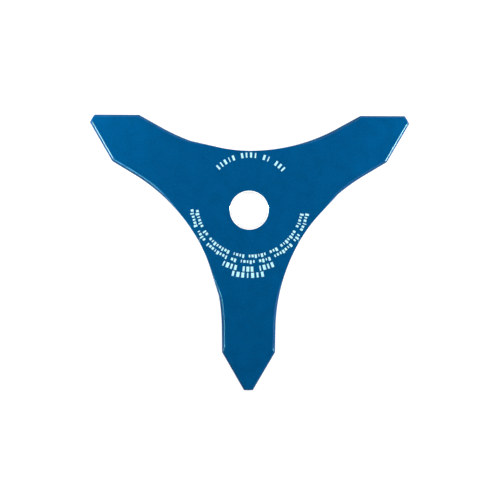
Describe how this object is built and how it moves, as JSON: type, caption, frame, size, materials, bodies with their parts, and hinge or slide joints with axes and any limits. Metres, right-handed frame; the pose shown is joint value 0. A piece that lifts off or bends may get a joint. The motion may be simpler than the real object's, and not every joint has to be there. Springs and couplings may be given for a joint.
{
  "type": "three-tooth brush cutter blade",
  "caption": "Flat three-armed steel blade with pointed, bevelled teeth, hollow-curved bays and a countersunk central bore, enamelled blue with rows of white print.",
  "frame": {"origin": "on the bore axis, at half the blade's thickness", "axes": "+Z along the bore axis out of the printed face; the first tooth points along -Y, the other two lie 120 degrees apart"},
  "size_m": [0.224, 0.194, 0.0031],
  "materials": {
    "blue_enamel": "glossy",
    "white_ink": "satin"
  },
  "bodies": {
    "root": {"blade": "blue_enamel", "print_type_line": "white_ink", "print_heading": "white_ink", "print_subheading": "white_ink", "print_notice_outer": "white_ink", "print_notice_inner": "white_ink"}
  },
  "joints": []
}
